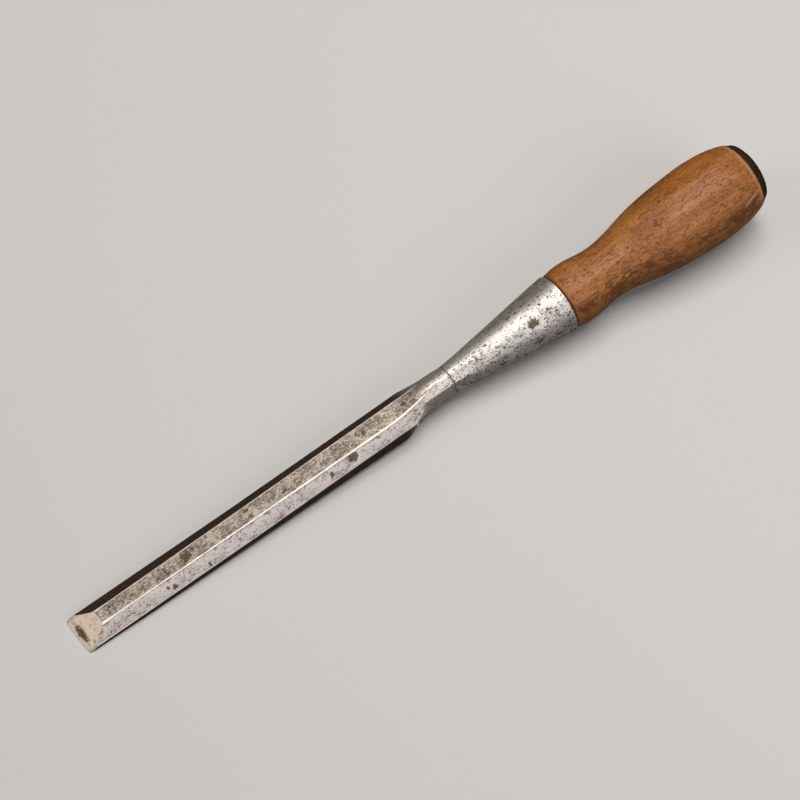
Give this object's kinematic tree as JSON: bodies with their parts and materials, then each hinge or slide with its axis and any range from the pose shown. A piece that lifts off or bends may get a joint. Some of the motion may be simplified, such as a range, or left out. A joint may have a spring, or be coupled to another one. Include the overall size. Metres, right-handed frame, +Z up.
{
  "type": "socket chisel",
  "caption": "Long bevel-sided socket chisel with a round neck, a conical socket, a turned wooden handle and a leather striking end.",
  "frame": {"origin": "middle of the cutting edge, on the bench that the chisel lies on", "axes": "+X from the cutting edge to the striking end, +Y across the blade, +Z up; the chisel lies bevel up on Z = 0, touching it at the cutting edge and under the swell of the handle"},
  "size_m": [0.3222, 0.0348, 0.0354],
  "materials": {
    "blade_steel": "old ground steel with a warm grey-brown speckled patina, pits and worn bright edges",
    "socket_iron": "bright forged iron, densely pitted in black, with darker brown-grey patches",
    "handle_wood": "worn orange-brown hardwood with open pores and a satin sheen",
    "leather": "oiled near-black leather, compressed by blows"
  },
  "bodies": {
    "forging": {"blade": "blade_steel", "socket": "socket_iron"},
    "handle_assembly": {"handle": "handle_wood", "leather_washer_inner": "leather", "leather_washer_outer": "leather"}
  },
  "joints": [
    {"name": "handle_draw", "type": "slide", "parent": "forging", "child": "handle_assembly", "axis": [0.9982, 0, 0.0599], "range_m": [0, 0.06]}
  ]
}
